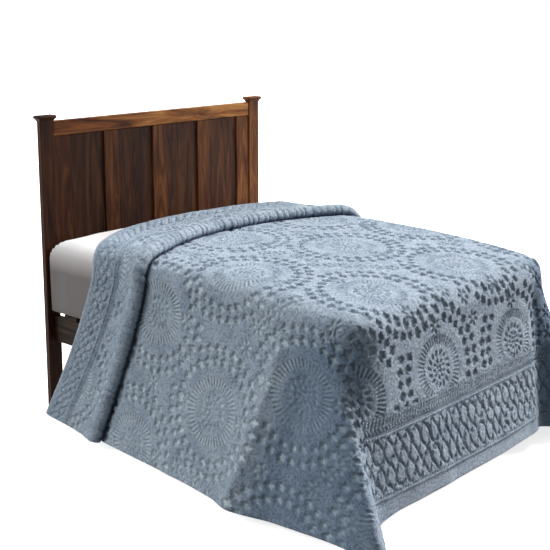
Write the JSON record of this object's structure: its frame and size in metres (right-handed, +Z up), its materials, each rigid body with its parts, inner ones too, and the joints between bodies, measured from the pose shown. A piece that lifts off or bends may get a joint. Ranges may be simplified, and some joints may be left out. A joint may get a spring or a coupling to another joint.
{
  "type": "bedspread on a bed",
  "caption": "Tufted chenille bedspread draped almost to the floor over a bed with a panelled wooden headboard, its head end turned back in a folded cuff.",
  "frame": {"origin": "centre of the whole's bounding box in X and Y, on the floor", "axes": "+Z up; +Y towards the headboard, so the foot of the bed faces -Y; +X to the right for someone who stands at the foot and looks at the headboard"},
  "size_m": [1.8218, 2.0168, 1.385],
  "materials": {
    "bedspread_chenille": "tufted cotton chenille pile, matt",
    "white_sheet": "smooth woven cotton, matt",
    "headboard_wood": "stained and lacquered, satin",
    "frame_wood": "dark stained, matt"
  },
  "bodies": {
    "root": {"bedspread": "bedspread_chenille", "mattress": "white_sheet", "post_left": "headboard_wood", "post_right": "headboard_wood", "cap_left": "headboard_wood", "cap_right": "headboard_wood", "top_rail": "headboard_wood", "low_rail": "headboard_wood", "stile_1": "headboard_wood", "stile_2": "headboard_wood", "stile_3": "headboard_wood", "stile_4": "headboard_wood", "stile_5": "headboard_wood", "panel_1": "headboard_wood", "panel_2": "headboard_wood", "panel_3": "headboard_wood", "panel_4": "headboard_wood", "side_rail_left": "frame_wood", "side_rail_right": "frame_wood", "leg_left": "frame_wood", "leg_right": "frame_wood", "foot_rail": "frame_wood", "slat_1": "frame_wood", "slat_2": "frame_wood", "slat_3": "frame_wood", "slat_4": "frame_wood", "slat_5": "frame_wood", "slat_6": "frame_wood"}
  },
  "joints": []
}
